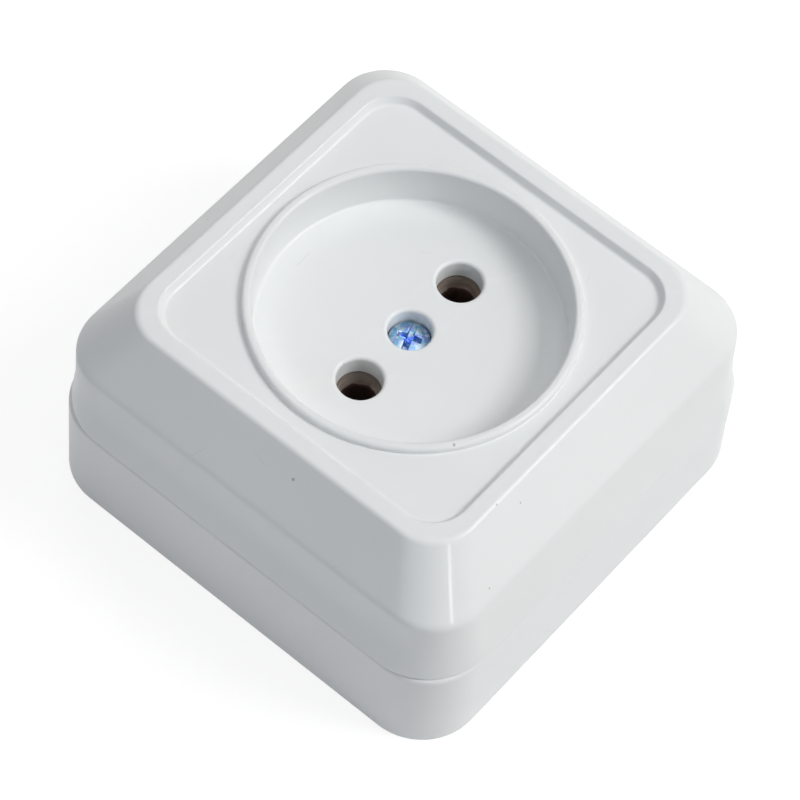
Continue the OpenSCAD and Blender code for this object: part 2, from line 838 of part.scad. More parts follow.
wall_box();
cover();
cover_screw();
screw_keeper();
threaded_insert();
contact_block();
contact(-1);  // contact_left
contact(1);  // contact_right
contact_spring(-1);  // contact_spring_left
contact_spring(1);  // contact_spring_right
clamp_plate(-1);  // clamp_plate_left
clamp_plate(1);  // clamp_plate_right
terminal_screw(-1);  // terminal_screw_left
terminal_screw(1);  // terminal_screw_right
terminal_nut(-1);  // terminal_nut_left
terminal_nut(1);  // terminal_nut_right
block_screw(-1);  // block_screw_front
block_screw(1);  // block_screw_rear
block_washer(-1);  // block_washer_front
block_washer(1);  // block_washer_rear
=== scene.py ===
import logging
import math
from collections.abc import Iterable
from dataclasses import dataclass, field
from enum import Enum

import bmesh
import bpy
import numpy as np
from mathutils import Matrix, Vector
from mathutils.geometry import delaunay_2d_cdt


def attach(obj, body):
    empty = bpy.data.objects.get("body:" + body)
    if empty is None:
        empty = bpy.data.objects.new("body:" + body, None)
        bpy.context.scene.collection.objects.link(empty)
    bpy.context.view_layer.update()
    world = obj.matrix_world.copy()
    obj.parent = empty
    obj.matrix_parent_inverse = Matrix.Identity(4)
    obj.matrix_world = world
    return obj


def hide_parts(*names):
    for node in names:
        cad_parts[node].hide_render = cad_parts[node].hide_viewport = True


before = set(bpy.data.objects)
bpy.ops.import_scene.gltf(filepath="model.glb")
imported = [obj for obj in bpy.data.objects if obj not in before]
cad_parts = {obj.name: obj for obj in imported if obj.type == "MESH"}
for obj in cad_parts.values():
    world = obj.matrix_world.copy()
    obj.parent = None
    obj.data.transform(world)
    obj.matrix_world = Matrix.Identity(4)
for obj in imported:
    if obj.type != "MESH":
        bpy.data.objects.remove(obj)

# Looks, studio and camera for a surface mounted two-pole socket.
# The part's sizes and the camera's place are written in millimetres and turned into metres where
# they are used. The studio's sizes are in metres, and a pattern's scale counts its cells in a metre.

LOG = logging.getLogger("socket")
MM = 0.001
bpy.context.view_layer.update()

Point = tuple[float, float, float]
Colour = tuple[float, float, float]
Row = list[tuple[float, ...]]
Socket = bpy.types.NodeSocket
Value = Socket | float | tuple[float, ...]


# Shader graphs


class Graph:
    """A thin layer over a node tree that makes nodes and links in one line each."""

    # Places of the colour sockets on the mix node, which has a set of them for each type.
    MIX_SHARE = 0
    MIX_FIRST = 6
    MIX_SECOND = 7
    MIX_RESULT = 2
    # How much of a pattern's shift goes along each axis.
    SHIFT = (1.0, 0.7, 1.3)

    def __init__(self, tree: bpy.types.NodeTree) -> None:
        """Starts on a tree.

        Args:
            tree: The node tree that the nodes are added to.
        """
        self.tree = tree

    def add(self, kind: str, settings: dict[str, str] | None = None, **inputs: Value) -> bpy.types.Node:
        """Adds one node.

        Args:
            kind: The node's Blender type.
            settings: Properties to set on the node.
            inputs: Values or sockets for its inputs, by name with underscores for spaces, or by
                place as i0, i1 and so on.
        Returns:
            The new node.
        """
        node = self.tree.nodes.new(kind)
        for key, value in (settings or {}).items():
            setattr(node, key, value)
        for key, value in inputs.items():
            by_place = key[0] == "i" and key[1:].isdigit()
            target = node.inputs[int(key[1:])] if by_place else node.inputs[key.replace("_", " ")]
            self.feed(target, value)
        return node

    def feed(self, target: Socket, value: Value) -> None:
        """Links a socket to an input, or sets the input's value.

        Args:
            target: The input.
            value: An output socket, a number, or a colour or vector.
        """
        if isinstance(value, Socket):
            self.tree.links.new(value, target)
        elif isinstance(value, (tuple, list)) and len(value) == 3 and target.type == "RGBA":
            target.default_value = (*value, 1.0)
        else:
            target.default_value = value

    def math(self, operation: str, a: Value, b: Value = 0.0, c: Value = 0.0) -> Socket:
        """Adds a math node.

        Args:
            operation: The node's operation.
            a: First value or socket.
            b: Second value or socket.
            c: Third value or socket.
        Returns:
            The result's socket.
        """
        return self.add("ShaderNodeMath", {"operation": operation}, i0=a, i1=b, i2=c).outputs[0]

    def ramp(self, value: Value, low: float, high: float, start: float = 0.0, end: float = 1.0) -> Socket:
        """Maps a value smoothly from one range to another, clamped.

        Args:
            value: The socket to map.
            low: Where the source range starts.
            high: Where it ends.
            start: The result at the low end.
            end: The result at the high end.
        Returns:
            The result's socket.
        """
        node = self.add("ShaderNodeMapRange", {"interpolation_type": "SMOOTHSTEP"}, Value=value)
        node.inputs["From Min"].default_value = low
        node.inputs["From Max"].default_value = high
        node.inputs["To Min"].default_value = start
        node.inputs["To Max"].default_value = end
        return node.outputs["Result"]

    def mix(self, share: Value, a: Value, b: Value) -> Socket:
        """Mixes two colours.

        Args:
            share: The second colour's share.
            a: The first colour or socket.
            b: The second colour or socket.
        Returns:
            The mixed colour's socket.
        """
        node = self.tree.nodes.new("ShaderNodeMix")
        node.data_type = "RGBA"
        self.feed(node.inputs[self.MIX_SHARE], share)
        self.feed(node.inputs[self.MIX_FIRST], a)
        self.feed(node.inputs[self.MIX_SECOND], b)
        return node.outputs[self.MIX_RESULT]

    def noise(
        self,
        scale: Value,
        detail: float = 2.0,
        rough: float = 0.5,
        where: Socket | None = None,
        offset: float = 0.0,
    ) -> Socket:
        """Adds a noise texture in object space.

        Args:
            scale: Cells a metre.
            detail: Number of octaves.
            rough: Weight of the finer octaves.
            where: The coordinate socket, or None for object coordinates.
            offset: Shifts the pattern, so that each use has its own.
        Returns:
            The noise value's socket.
        """
        place = where if where is not None else self.place(offset)
        node = self.add("ShaderNodeTexNoise", Vector=place, Scale=scale, Detail=detail, Roughness=rough)
        return node.outputs[0]

    def place(self, offset: float = 0.0, stretch: Point = (1.0, 1.0, 1.0)) -> Socket:
        """Gives object coordinates, shifted and stretched.

        Args:
            offset: The shift in metres.
            stretch: Scale along each axis.
        Returns:
            The coordinate's socket.
        """
        source = self.add("ShaderNodeTexCoord").outputs["Object"]
        moved = self.add("ShaderNodeMapping", Vector=source)
        moved.inputs["Location"].default_value = tuple(offset * part for part in self.SHIFT)
        moved.inputs["Scale"].default_value = stretch
        return moved.outputs[0]

    def bump(self, height: Socket, strength: float, relief: float) -> None:
        """Bends the tree's Principled shader's normal by a height.

        Args:
            height: The height's socket.
            strength: The bump's strength.
            relief: What a height of 1 stands for, in metres.
        """
        node = self.add("ShaderNodeBump", Height=height, Strength=strength, Distance=relief)
        self.feed(self.tree.nodes["Principled BSDF"].inputs["Normal"], node.outputs[0])


class Effect(Enum):
    """The shared shader groups."""

    EDGE_WEAR = "edge_wear"
    ORANGE_PEEL = "orange_peel"
    DUST = "dust_specks"
    HAIRS = "fine_hairs"
    TOOL_MARKS = "turned_marks"
    CLOUDS = "soft_clouds"


class EffectLibrary:
    """Builds the shared shader groups once and hands out instances of them."""

    def __init__(self) -> None:
        """Builds every group."""
        self.trees: dict[Effect, bpy.types.NodeTree] = {}
        self._edge_wear()
        self._orange_peel()
        self._dust()
        self._hairs()
        self._turned_marks()
        self._clouds()

    def _start(
        self, effect: Effect, inputs: dict[str, float], outputs: tuple[str, ...]
    ) -> tuple[Graph, bpy.types.Node, bpy.types.Node]:
        """Makes an empty group with named sockets.

        Args:
            effect: Which effect the group is.
            inputs: Names and default values of its inputs.
            outputs: Names of its outputs.
        Returns:
            The graph, the group's input node and its output node.
        """
        tree = bpy.data.node_groups.new(effect.value, "ShaderNodeTree")
        for name, value in inputs.items():
            socket = tree.interface.new_socket(name=name, in_out="INPUT", socket_type="NodeSocketFloat")
            socket.default_value = value
        for name in outputs:
            tree.interface.new_socket(name=name, in_out="OUTPUT", socket_type="NodeSocketFloat")
        graph = Graph(tree)
        self.trees[effect] = tree
        return graph, graph.add("NodeGroupInput"), graph.add("NodeGroupOutput")

    def _edge_wear(self) -> None:
        """A mask of rubbed outer edges, broken up by noise."""
        graph, given, out = self._start(Effect.EDGE_WEAR, {"Start": 0.52, "Scale": 900.0}, ("Mask",))
        ragged = 0.06
        sharp = graph.add("ShaderNodeNewGeometry").outputs["Pointiness"]
        grain = graph.noise(given.outputs["Scale"], detail=3.0)
        broken = graph.math("MULTIPLY_ADD", grain, ragged, -ragged / 2)
        edge = graph.math("SUBTRACT", graph.math("ADD", sharp, broken), given.outputs["Start"])
        graph.feed(out.inputs["Mask"], graph.ramp(edge, low=0.0, high=0.05))

    def _orange_peel(self) -> None:
        """The slight waviness of a moulded gloss surface, and its finer grain."""
        graph, given, out = self._start(Effect.ORANGE_PEEL, {"Scale": 700.0}, ("Height", "Mask"))
        finer = 5.0
        fine_share = 0.25
        wide = graph.noise(given.outputs["Scale"], detail=1.0)
        fine = graph.noise(graph.math("MULTIPLY", given.outputs["Scale"], finer), offset=0.2)
        graph.feed(out.inputs["Height"], graph.math("MULTIPLY_ADD", fine, fine_share, wide))
        graph.feed(out.inputs["Mask"], graph.ramp(fine, low=0.35, high=0.65))

    def _dust(self) -> None:
        """Sparse specks of dust of several sizes."""
        graph, given, out = self._start(Effect.DUST, {"Scale": 330.0, "Amount": 0.12}, ("Mask",))
        smallest = 0.02
        spread = 0.06
        ragged = 0.06
        cell = graph.add("ShaderNodeTexVoronoi", Vector=graph.place(0.4), Scale=given.outputs["Scale"])
        parts = graph.add("ShaderNodeSeparateColor", Color=cell.outputs["Color"])
        chosen = graph.math("LESS_THAN", parts.outputs[0], given.outputs["Amount"])
        reach = graph.math("MULTIPLY_ADD", parts.outputs[1], spread, smallest)
        grit = graph.noise(scale=9000.0, detail=1.0)
        away = graph.math("MULTIPLY_ADD", grit, ragged, cell.outputs["Distance"])
        inside = graph.math("LESS_THAN", away, graph.math("ADD", reach, ragged / 2))
        graph.feed(out.inputs["Mask"], graph.math("MULTIPLY", chosen, inside))

    def _hairs(self) -> None:
        """Short curled fibres and hairline rubs, thin as a pencil line."""
        graph, given, out = self._start(Effect.HAIRS, {"Scale": 60.0, "Amount": 0.5}, ("Mask",))
        middle = 0.5
        curl = graph.noise(given.outputs["Scale"], detail=0.0, offset=0.62)
        away = graph.math("ABSOLUTE", graph.math("SUBTRACT", curl, middle))
        thin = graph.ramp(away, low=0.0, high=0.0035, start=1.0, end=0.0)
        patch = graph.ramp(graph.noise(scale=170.0, detail=1.0, offset=1.23), low=0.67, high=0.7)
        drawn = graph.math("MULTIPLY", thin, patch)
        graph.feed(out.inputs["Mask"], graph.math("MULTIPLY", drawn, given.outputs["Amount"]))

    def _turned_marks(self) -> None:
        """Fine rings and streaks left by a cutting tool or a die."""
        graph, given, out = self._start(Effect.TOOL_MARKS, {"Scale": 1500.0}, ("Height", "Mask"))
        finer = 2.5
        pit_share = 0.4
        rings = graph.place(0.3, stretch=(1.0, 1.0, 6.0))
        streak = graph.noise(given.outputs["Scale"], detail=3.0, rough=0.6, where=rings)
        pits = graph.noise(graph.math("MULTIPLY", given.outputs["Scale"], finer), offset=0.8)
        graph.feed(out.inputs["Height"], graph.math("MULTIPLY_ADD", pits, pit_share, streak))
        graph.feed(out.inputs["Mask"], graph.ramp(streak, low=0.35, high=0.7))

    def _clouds(self) -> None:
        """Broad, faint drifts of tone."""
        graph, given, out = self._start(Effect.CLOUDS, {"Scale": 45.0}, ("Mask",))
        drifts = graph.noise(given.outputs["Scale"], detail=3.0, offset=2.3)
        graph.feed(out.inputs["Mask"], graph.ramp(drifts, low=0.3, high=0.7))

    def use(self, graph: Graph, effect: Effect, **inputs: Value) -> bpy.types.Node:
        """Adds an instance of a group.

        Args:
            graph: The material's graph.
            effect: Which group.
            inputs: Values or sockets for its inputs.
        Returns:
            The group node.
        """
        node = graph.tree.nodes.new("ShaderNodeGroup")
        node.node_tree = self.trees[effect]
        for name, value in inputs.items():
            graph.feed(node.inputs[name], value)
        return node


# Finishes


@dataclass(frozen=True)
class Finish:
    """What all finishes share: a name and how a material is started."""

    name: str

    def start(self) -> tuple[bpy.types.Material, Graph, bpy.types.Node]:
        """Makes a material with one Principled shader.

        Returns:
            The material, its graph and the shader node.
        """
        material = bpy.data.materials.new(self.name)
        material.use_nodes = True
        graph = Graph(material.node_tree)
        return material, graph, material.node_tree.nodes["Principled BSDF"]


@dataclass(frozen=True)
class MouldedPlastic(Finish):
    """A moulded thermoplastic with dust, hairs, faint wear and orange peel."""

    colour: Colour
    roughness: float
    gloss: float
    coat: float = 0.0
    coat_roughness: float = 0.1
    peel: float = 0.2
    relief: float = 0.00002
    wear_start: float = 0.56
    worn_colour: Colour = (0.86, 0.86, 0.85)
    worn_share: float = 0.15
    worn_rough: float = 0.1
    drift_shade: float = 0.975
    drift_rough: float = 0.03
    peel_rough: float = 0.03
    dust: float = 0.1
    dust_colour: Colour = (0.34, 0.31, 0.28)
    dust_share: float = 0.65
    dust_height: float = 0.8
    hairs: float = 0.3
    hair_share: float = 0.5
    dirt_rough: float = 0.5

    def build(self, effects: EffectLibrary) -> bpy.types.Material:
        """Makes the material.

        Args:
            effects: The shared shader groups.
        Returns:
            The material.
        """
        material, graph, shader = self.start()
        clouds = effects.use(graph, Effect.CLOUDS).outputs["Mask"]
        wear = effects.use(graph, Effect.EDGE_WEAR, Start=self.wear_start).outputs["Mask"]
        dust = effects.use(graph, Effect.DUST, Amount=self.dust).outputs["Mask"]
        hairs = effects.use(graph, Effect.HAIRS, Amount=self.hairs).outputs["Mask"]
        peel = effects.use(graph, Effect.ORANGE_PEEL)
        shade = tuple(self.drift_shade * c for c in self.colour)
        body = graph.mix(clouds, self.colour, shade)
        body = graph.mix(graph.math("MULTIPLY", wear, self.worn_share), body, self.worn_colour)
        body = graph.mix(graph.math("MULTIPLY", hairs, self.hair_share), body, self.dust_colour)
        body = graph.mix(graph.math("MULTIPLY", dust, self.dust_share), body, self.dust_colour)
        graph.feed(shader.inputs["Base Color"], body)
        dirt = graph.math("MAXIMUM", dust, hairs)
        rough = graph.math("MULTIPLY_ADD", peel.outputs["Mask"], self.peel_rough, self.roughness)
        rough = graph.math("MULTIPLY_ADD", clouds, self.drift_rough, rough)
        rough = graph.math("MULTIPLY_ADD", dirt, self.dirt_rough, rough)
        graph.feed(shader.inputs["Roughness"], graph.math("MULTIPLY_ADD", wear, self.worn_rough, rough))
        shader.inputs["Specular IOR Level"].default_value = self.gloss
        shader.inputs["Coat Roughness"].default_value = self.coat_roughness
        clean = graph.math("SUBTRACT", 1.0, dirt)
        graph.feed(shader.inputs["Coat Weight"], graph.math("MULTIPLY", clean, self.coat))
        height = graph.math("MULTIPLY_ADD", dust, self.dust_height, peel.outputs["Height"])
        graph.bump(height, self.peel, self.relief)
        return material


@dataclass(frozen=True)
class Thermoset(Finish):
    """A pressed insulating resin with filler flecks and a dull skin."""

    colour: Colour
    fleck_colour: Colour
    roughness: float = 0.45
    cloud_scale: float = 120.0
    cloud_share: float = 0.3
    cloud_shade: float = 0.6
    fleck_scale: float = 2600.0
    fleck_share: float = 0.35
    fleck_height: float = 0.4
    wear_start: float = 0.54
    worn_share: float = 0.5
    dust: float = 0.2
    dust_colour: Colour = (0.5, 0.48, 0.44)
    dust_share: float = 0.4
    dust_rough: float = 0.3
    peel_scale: float = 1400.0
    peel_rough: float = 0.12
    peel: float = 0.4
    relief: float = 0.00003

    def build(self, effects: EffectLibrary) -> bpy.types.Material:
        """Makes the material.

        Args:
            effects: The shared shader groups.
        Returns:
            The material.
        """
        material, graph, shader = self.start()
        clouds = effects.use(graph, Effect.CLOUDS, Scale=self.cloud_scale).outputs["Mask"]
        wear = effects.use(graph, Effect.EDGE_WEAR, Start=self.wear_start).outputs["Mask"]
        dust = effects.use(graph, Effect.DUST, Amount=self.dust).outputs["Mask"]
        peel = effects.use(graph, Effect.ORANGE_PEEL, Scale=self.peel_scale)
        flecks = graph.ramp(graph.noise(self.fleck_scale, offset=0.6), low=0.6, high=0.68)
        shade = tuple(self.cloud_shade * c for c in self.colour)
        body = graph.mix(graph.math("MULTIPLY", clouds, self.cloud_share), self.colour, shade)
        body = graph.mix(graph.math("MULTIPLY", flecks, self.fleck_share), body, self.fleck_colour)
        body = graph.mix(graph.math("MULTIPLY", wear, self.worn_share), body, self.fleck_colour)
        body = graph.mix(graph.math("MULTIPLY", dust, self.dust_share), body, self.dust_colour)
        graph.feed(shader.inputs["Base Color"], body)
        rough = graph.math("MULTIPLY_ADD", peel.outputs["Mask"], self.peel_rough, self.roughness)
        graph.feed(shader.inputs["Roughness"], graph.math("MULTIPLY_ADD", dust, self.dust_rough, rough))
        height = graph.math("MULTIPLY_ADD", flecks, self.fleck_height, peel.outputs["Height"])
        graph.bump(height, self.peel, self.relief)
        return material


@dataclass(frozen=True)
class Metal(Finish):
    """A metal with tool marks, a tarnish or a coloured passivation, rubbed edges, and painted shadow deep in
    its bores.
    """

    colour: Colour
    tarnish: Colour
    worn: Colour
    roughness: float = 0.3
    metallic: float = 1.0
    tint_scale: float = 400.0
    tint_low: float = 0.4
    tint_high: float = 0.62
    second_tint: Colour | None = None
    spots_finer: float = 1.6
    wear_start: float = 0.53
    wear_scale: float = 2200.0
    worn_share: float = 0.6
    dust: float = 0.08
    dust_scale: float = 1500.0
    dust_colour: Colour = (0.4, 0.37, 0.33)
    dust_share: float = 0.6
    dust_dulls: float = 0.9
    dust_rough: float = 0.4
    cloud_scale: float = 160.0
    cloud_rough: float = 0.06
    marks: float = 0.25
    marks_rough: float = 0.12
    relief: float = 0.00002
    pool_radius: float = 0.0
    pool_core: float = 0.4
    pool_ragged: float = 2.4
    pool_share: float = 0.92
    tint_beside_pool: float = 0.45
    # Where the painted shadow lies in the two bores, with its colour, share, fade and raggedness, and the
    # darkening on the rims.
    bore_x: float = 0.0
    bore_radius: float = 2.74
    bore_z: float = 22.5
    mouth_z: float = 24.46
    bore_shade_colour: Colour = (0.04, 0.016, 0.01)
    bore_shade_share: float = 0.93
    bore_shade_fade: tuple[float, float] = (0.3, 0.6)
    bore_shade_ragged: float = 0.8
    rim_dark_share: float = 0.7

    def _pooled(self, graph: Graph, tint: Socket) -> Socket:
        """Gathers the tint round the axis, where a plating bath leaves it.

        Args:
            graph: The material's graph.
            tint: The tint's mask.
        Returns:
            The gathered mask.
        """
        ragged = self.pool_ragged * MM
        level = graph.place(stretch=(1.0, 1.0, 0.0))
        away = graph.add("ShaderNodeVectorMath", {"operation": "LENGTH"}, i0=level)
        shift = graph.math("MULTIPLY_ADD", graph.noise(scale=1200.0, offset=4.0), ragged, -ragged / 2)
        reach = graph.math("ADD", away.outputs["Value"], shift)
        core = self.pool_core * self.pool_radius * MM
        near = graph.ramp(reach, low=core, high=self.pool_radius * MM, start=1.0, end=0.0)
        beside = graph.math("MULTIPLY", tint, self.tint_beside_pool)
        return graph.math("MAXIMUM", beside, graph.math("MULTIPLY", near, self.pool_share))

    def _bore_shade_mask(self, graph: Graph) -> Socket:
        """Masks the painted shadow deep in the two bores, and a darker band on their rims.

        Args:
            graph: The material's graph.
        Returns:
            The mask of the painted shadow and the darker rims.
        """
        parts = graph.add("ShaderNodeSeparateXYZ", Vector=graph.place())
        side = graph.math("SUBTRACT", graph.math("ABSOLUTE", parts.outputs[0]), self.bore_x * MM)
        across = graph.math("MULTIPLY", parts.outputs[1], parts.outputs[1])
        square = graph.math("MULTIPLY_ADD", side, side, across)
        inside = graph.math("LESS_THAN", square, (self.bore_radius * MM) ** 2)
        grain = graph.noise(scale=700.0, detail=3.0, offset=5.0)
        height = graph.math("MULTIPLY_ADD", grain, self.bore_shade_ragged * MM, parts.outputs[2])
        low, high = ((self.bore_z + step) * MM for step in self.bore_shade_fade)
        deep = graph.ramp(height, low, high, start=1.0, end=0.0)
        rim = graph.math("GREATER_THAN", parts.outputs[2], self.mouth_z * MM)
        on_rim = graph.math("MULTIPLY", rim, self.rim_dark_share)
        return graph.math("MAXIMUM", graph.math("MULTIPLY", inside, deep), on_rim)

    def build(self, effects: EffectLibrary) -> bpy.types.Material:
        """Makes the material.

        Args:
            effects: The shared shader groups.
        Returns:
            The material.
        """
        material, graph, shader = self.start()
        worn_edges = effects.use(graph, Effect.EDGE_WEAR, Start=self.wear_start, Scale=self.wear_scale)
        wear = graph.math("MULTIPLY", worn_edges.outputs["Mask"], self.worn_share)
        dust = effects.use(graph, Effect.DUST, Scale=self.dust_scale, Amount=self.dust).outputs["Mask"]
        marks = effects.use(graph, Effect.TOOL_MARKS)
        clouds = effects.use(graph, Effect.CLOUDS, Scale=self.cloud_scale).outputs["Mask"]
        tint = graph.ramp(graph.noise(self.tint_scale, offset=0.5), self.tint_low, self.tint_high)
        if self.pool_radius > 0.0:
            tint = self._pooled(graph, tint)
        body = graph.mix(tint, self.colour, self.tarnish)
        if self.second_tint is not None:
            spots = graph.noise(self.tint_scale * self.spots_finer, detail=1.0, offset=3.1)
            body = graph.mix(graph.ramp(spots, low=0.52, high=0.66), body, self.second_tint)
        body = graph.mix(wear, body, self.worn)
        body = graph.mix(graph.math("MULTIPLY", dust, self.dust_share), body, self.dust_colour)
        # Paints shadow deep in the pin bores, and darker rims, into the colour.
        if self.bore_x > 0.0:
            bore_shade = graph.math("MULTIPLY", self._bore_shade_mask(graph), self.bore_shade_share)
            body = graph.mix(bore_shade, body, self.bore_shade_colour)
        graph.feed(shader.inputs["Base Color"], body)
        bright = graph.math("MULTIPLY_ADD", dust, -self.dust_dulls * self.metallic, self.metallic)
        graph.feed(shader.inputs["Metallic"], bright)
        rough = graph.math("MULTIPLY_ADD", marks.outputs["Mask"], self.marks_rough, self.roughness)
        rough = graph.math("MULTIPLY_ADD", clouds, self.cloud_rough, rough)
        graph.feed(shader.inputs["Roughness"], graph.math("MULTIPLY_ADD", dust, self.dust_rough, rough))
        graph.bump(marks.outputs["Height"], self.marks, self.relief)
        return material


class Slot(Enum):
    """The material slots of the part's record."""

    COVER = "cover"
    WALL_BOX = "wall_box"
    COVER_SCREW = "cover_screw"
    SCREW_KEEPER = "screw_keeper"
    THREADED_INSERT = "threaded_insert"
    CONTACT_BLOCK = "contact_block"
    CONTACT_METAL = "contact_metal"
    SPRING_STEEL = "spring_steel"
    ZINC_STEEL = "zinc_steel"


FINISHES: dict[Slot, Finish] = {
    Slot.COVER: MouldedPlastic(
        "gloss_white", colour=(0.80, 0.815, 0.815), roughness=0.36, gloss=0.22, coat=0.16,
    ),
    Slot.WALL_BOX: MouldedPlastic(
        "satin_white", colour=(0.79, 0.80, 0.805), roughness=0.34, gloss=0.4, peel=0.3,
    ),
    Slot.COVER_SCREW: Metal(
        "blue_zinc", colour=(0.38, 0.49, 0.6), tarnish=(0.04, 0.12, 0.62), worn=(0.8, 0.84, 0.88),
        roughness=0.22, tint_scale=1100.0, tint_low=0.5, tint_high=0.6, second_tint=(0.14, 0.36, 0.48),
        metallic=0.75, pool_radius=1.5,
    ),
    Slot.SCREW_KEEPER: MouldedPlastic(
        "natural_plastic", colour=(0.62, 0.58, 0.47), roughness=0.4, gloss=0.35,
    ),
    Slot.THREADED_INSERT: Metal(
        "turned_brass", colour=(0.75, 0.53, 0.24), tarnish=(0.5, 0.33, 0.15), worn=(0.86, 0.68, 0.38),
    ),
    Slot.CONTACT_BLOCK: Thermoset(
        "pressed_resin", colour=(0.085, 0.055, 0.04), fleck_colour=(0.2, 0.14, 0.1),
    ),
    # The contact metal carries painted shadow deep in its pin bores.
    Slot.CONTACT_METAL: Metal(
        "contact_bronze", colour=(0.45, 0.39, 0.345), tarnish=(0.31, 0.235, 0.195), worn=(0.45, 0.39, 0.34),
        roughness=0.5, metallic=0.25, bore_x=9.5,
    ),
    Slot.SPRING_STEEL: Metal(
        "spring_steel", colour=(0.4, 0.4, 0.41), tarnish=(0.26, 0.26, 0.29), worn=(0.62, 0.62, 0.62),
        roughness=0.32,
    ),
    Slot.ZINC_STEEL: Metal(
        "zinc_steel", colour=(0.62, 0.65, 0.68), tarnish=(0.42, 0.47, 0.55), worn=(0.8, 0.8, 0.8),
    ),
}
SIDES = ("left", "right")
NODE_SLOT: dict[str, Slot] = {
    "wall_box": Slot.WALL_BOX,
    "cover": Slot.COVER,
    "cover_screw": Slot.COVER_SCREW,
    "screw_keeper": Slot.SCREW_KEEPER,
    "threaded_insert": Slot.THREADED_INSERT,
    "contact_block": Slot.CONTACT_BLOCK,
    **{f"contact_{side}": Slot.CONTACT_METAL for side in SIDES},
    **{f"contact_spring_{side}": Slot.SPRING_STEEL for side in SIDES},
    **{f"clamp_plate_{side}": Slot.ZINC_STEEL for side in SIDES},
    **{f"terminal_screw_{side}": Slot.ZINC_STEEL for side in SIDES},
    **{f"terminal_nut_{side}": Slot.ZINC_STEEL for side in SIDES},
    **{f"block_screw_{end}": Slot.ZINC_STEEL for end in ("front", "rear")},
    **{f"block_washer_{end}": Slot.ZINC_STEEL for end in ("front", "rear")},
}


# Studio


@dataclass(frozen=True)
class Lamp:
    """A soft square lamp."""

    name: str
    direction: Point
    share: float
    size: float
    colour: Colour = (1.0, 1.0, 1.0)
    distance: float = 1.2

    def build(self, aim: Vector) -> bpy.types.Object:
        """Adds the lamp.

        Args:
            aim: The point that it looks at.
        Returns:
            The lamp's object.
        """
        # With this energy, a white surface that faces the lamp renders at the lamp's share.
        data = bpy.data.lights.new(self.name, "AREA")
        data.shape = "SQUARE"
        data.size = self.size
        data.energy = self.share * (math.pi * self.distance) ** 2
        data.color = self.colour
        lamp = bpy.data.objects.new(self.name, data)
        lamp.location = aim + Vector(self.direction).normalized() * self.distance
        lamp.rotation_mode = "QUATERNION"
        lamp.rotation_quaternion = (lamp.location - aim).to_track_quat("Z", "Y")
        bpy.context.collection.objects.link(lamp)
        return lamp


@dataclass(frozen=True)
class Studio:
    """A pale floor, an even sky and soft lamps."""

    sky: float = 0.02
    lamp_aim: Point = (0.0, 0.0, 0.02)
    floor_half: float = 3.0
    floor_drop: float = 0.00002
    floor_colour: Colour = (0.8, 0.8, 0.8)
    floor_glow: float = 0.82
    floor_shade: float = 0.26
    lamps: tuple[Lamp, ...] = (
        Lamp("key", (0.35, -0.565, 0.748), 0.5, 0.45),
        Lamp("key_low", (0.4, -0.72, 0.57), 0.17, 0.45),
        Lamp("top", (0.0, 0.0, 1.0), 0.3, 1.0),
        Lamp("left", (-0.85, 0.12, 0.45), 0.175, 0.8, (0.84, 0.91, 1.0)),
        Lamp("back_right", (0.6, 0.6, 0.5), 0.195, 0.8),
        Lamp("glint", (-0.33, -0.88, 0.33), 0.065, 0.1),
    )

    def build(self) -> None:
        """Makes the floor, the world and the lamps."""
        self._floor()
        self._world()
        for lamp in self.lamps:
            lamp.build(Vector(self.lamp_aim))

    def _seen(self, graph: Graph) -> Socket:
        """Tells rays that show a picture of a surface from those that only light others.

        Args:
            graph: The graph to add to.
        Returns:
            A socket that is 1 for camera, glossy and transmitted rays.
        """
        path = graph.add("ShaderNodeLightPath")
        both = graph.math("MAXIMUM", path.outputs["Is Camera Ray"], path.outputs["Is Glossy Ray"])
        return graph.math("MAXIMUM", both, path.outputs["Is Transmission Ray"])

    def _world(self) -> None:
        """An even sky that is plain white where it is seen."""
        world = bpy.data.worlds.new("sky")
        world.use_nodes = True
        bpy.context.scene.world = world
        graph = Graph(world.node_tree)
        back = world.node_tree.nodes["Background"]
        back.inputs["Color"].default_value = (1.0, 1.0, 1.0, 1.0)
        strength = graph.math("MULTIPLY_ADD", self._seen(graph), 1.0 - self.sky, self.sky)
        graph.feed(back.inputs["Strength"], strength)

    def _floor(self) -> None:
        """A wide floor that looks white and keeps a faint shadow."""
        half = self.floor_half
        corners = [(-half, -half, 0.0), (half, -half, 0.0), (half, half, 0.0), (-half, half, 0.0)]
        mesh = bpy.data.meshes.new("floor")
        mesh.from_pydata(corners, [], [(0, 1, 2, 3)])
        floor = bpy.data.objects.new("floor", mesh)
        floor.location.z = -self.floor_drop
        bpy.context.collection.objects.link(floor)
        material = bpy.data.materials.new("floor")
        material.use_nodes = True
        graph = Graph(material.node_tree)
        tree = material.node_tree
        tree.nodes.remove(tree.nodes["Principled BSDF"])
        plain = graph.add("ShaderNodeBsdfDiffuse", Color=self.floor_colour)
        dim = graph.add("ShaderNodeBsdfDiffuse", Color=(self.floor_shade,) * 3)
        glow = graph.add("ShaderNodeEmission", Color=(1.0, 1.0, 1.0), Strength=self.floor_glow)
        lit = graph.add("ShaderNodeAddShader", i0=dim.outputs[0], i1=glow.outputs[0])
        mixed = graph.add("ShaderNodeMixShader", i0=self._seen(graph), i1=plain.outputs[0], i2=lit.outputs[0])
        graph.feed(tree.nodes["Material Output"].inputs["Surface"], mixed.outputs[0])
        mesh.materials.append(material)


